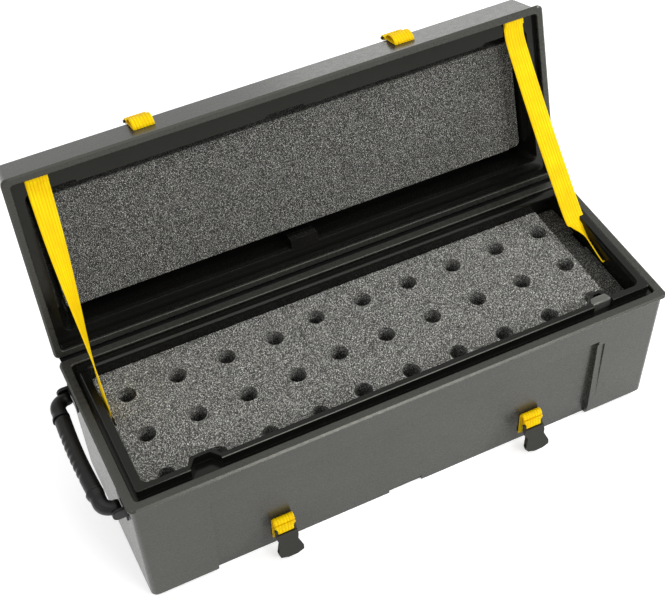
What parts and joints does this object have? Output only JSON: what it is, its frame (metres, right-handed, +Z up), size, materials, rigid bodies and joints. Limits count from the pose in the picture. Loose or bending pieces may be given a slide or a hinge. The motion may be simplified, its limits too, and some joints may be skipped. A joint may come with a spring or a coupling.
{
  "type": "microphone case",
  "caption": "Long hard case with a hinged foam-lined lid, foam blocks bored for handheld microphones, webbing lid stays, buckle straps and an end handle.",
  "frame": {"origin": "centre of the underside of the base, on the floor", "axes": "+X along the case towards the end without a handle, +Y towards the hinge, +Z up; the lid stands open as pictured"},
  "size_m": [0.8146, 0.4503, 0.4594],
  "materials": {
    "shell": "fine grained black plastic",
    "liner": "smooth black plastic",
    "foam": "charcoal open cell foam",
    "dark_foam": "black open cell foam",
    "webbing": "yellow ribbed webbing",
    "buckle": "black moulded plastic",
    "rubber": "soft black rubber",
    "dark_steel": "black coated steel"
  },
  "bodies": {
    "base": {"base_shell": "shell", "base_liner": "liner", "foam_floor_pad": "dark_foam", "foam_block_left": "foam", "foam_block_right": "foam", "trough_foam": "dark_foam", "hinge_base_leaf": "dark_steel", "hinge_pin": "dark_steel", "latch_web_left": "webbing", "latch_web_right": "webbing", "latch_rivet_left": "dark_steel", "latch_rivet_right": "dark_steel", "stay_left": "webbing", "stay_right": "webbing", "stay_rivet_base_left": "dark_steel", "stay_rivet_base_right": "dark_steel", "handle_bracket_front": "buckle", "handle_bracket_back": "buckle"},
    "lid": {"lid_shell": "shell", "lid_liner": "liner", "lid_foam": "foam", "lid_foam_strip": "foam", "hinge_lid_leaf": "dark_steel", "lid_web_left": "webbing", "lid_web_right": "webbing", "lid_rivet_left": "dark_steel", "lid_rivet_right": "dark_steel", "strap_bar_left": "dark_steel", "strap_bar_right": "dark_steel", "stay_rivet_lid_left": "dark_steel", "stay_rivet_lid_right": "dark_steel"},
    "strap_left": {"lid_strap_left": "webbing", "buckle_plug_left": "buckle"},
    "strap_right": {"lid_strap_right": "webbing", "buckle_plug_right": "buckle"},
    "socket_left": {"buckle_socket_left": "buckle"},
    "socket_right": {"buckle_socket_right": "buckle"},
    "handle": {"handle_bail": "rubber", "handle_grip": "rubber"}
  },
  "joints": [
    {"name": "lid_hinge", "type": "hinge", "parent": "base", "child": "lid", "pos_m": [0, 0.1369, 0.2025], "axis": [1, 0, 0], "range_deg": [0, 106.6], "deforming": ["stay_left", "stay_right"]},
    {"name": "strap_left_swing", "type": "hinge", "parent": "lid", "child": "strap_left", "pos_m": [-0.19, 0.2929, 0.43387], "axis": [1, 0, 0], "range_deg": [-3, 222]},
    {"name": "strap_right_swing", "type": "hinge", "parent": "lid", "child": "strap_right", "pos_m": [0.19, 0.2929, 0.43387], "axis": [1, 0, 0], "range_deg": [-3, 222]},
    {"name": "socket_left_swing", "type": "hinge", "parent": "base", "child": "socket_left", "pos_m": [-0.1915, -0.1313, 0.041], "axis": [-1, 0, 0], "range_deg": [0, 90]},
    {"name": "socket_right_swing", "type": "hinge", "parent": "base", "child": "socket_right", "pos_m": [0.1915, -0.1313, 0.041], "axis": [-1, 0, 0], "range_deg": [0, 90]},
    {"name": "handle_swing", "type": "hinge", "parent": "base", "child": "handle", "pos_m": [-0.39711, 0, 0.1825], "axis": [0, -1, 0], "range_deg": [-25, 60]}
  ]
}
